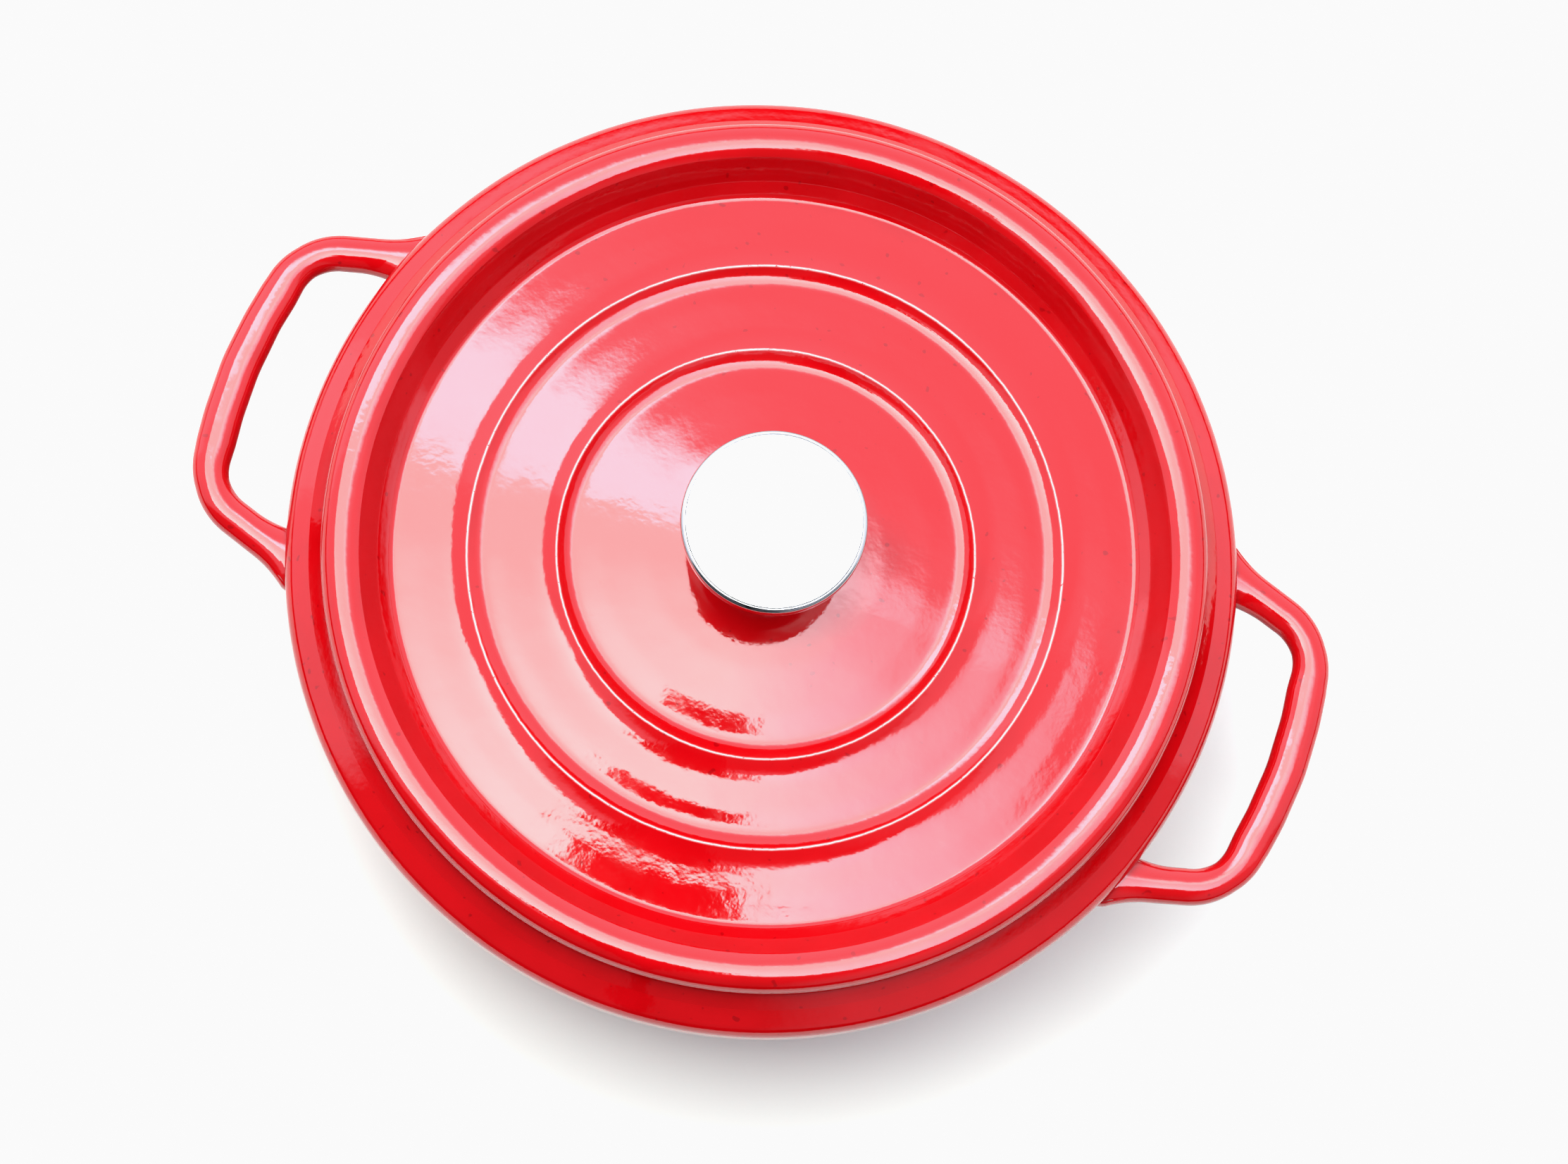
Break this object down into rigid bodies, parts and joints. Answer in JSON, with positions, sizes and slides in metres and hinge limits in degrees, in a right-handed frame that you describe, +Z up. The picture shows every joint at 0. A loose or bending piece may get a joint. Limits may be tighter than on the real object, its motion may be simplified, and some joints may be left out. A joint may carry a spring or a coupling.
{
  "type": "cast iron dutch oven",
  "caption": "Round enamelled cast iron dutch oven with two cast loop handles and a stepped lid that nests on the pot and lifts off by a flat-topped steel knob.",
  "frame": {"origin": "centre of the foot ring, on the surface that the pot stands on", "axes": "+Z up along the pot's axis, +X along the line through the two handles"},
  "size_m": [0.3574, 0.292, 0.1754],
  "materials": {
    "red_enamel": "glossy red enamel on cast iron",
    "lid_enamel": "glossy red enamel on cast iron",
    "matt_enamel": "dark satin enamel with fine specks",
    "lid_matt_enamel": "dark satin enamel with fine specks",
    "turned_steel": "finely turned stainless steel",
    "polished_steel": "polished stainless steel",
    "plain_steel": "plain machined steel",
    "screw_steel": "plain stainless steel",
    "silicone": "matt silicone"
  },
  "bodies": {
    "pot": {"pot": "red_enamel", "pot_lining": "matt_enamel"},
    "lid": {"lid": "lid_enamel", "lid_lining": "lid_matt_enamel", "knob_cap": "turned_steel", "knob_body": "polished_steel", "knob_insert": "plain_steel", "knob_gasket": "silicone", "knob_screw": "screw_steel", "screw_washer": "screw_steel"}
  },
  "joints": [
    {"name": "lid_lift", "type": "slide", "parent": "pot", "child": "lid", "axis": [0, 0, 1], "range_m": [0, 0.2]}
  ]
}
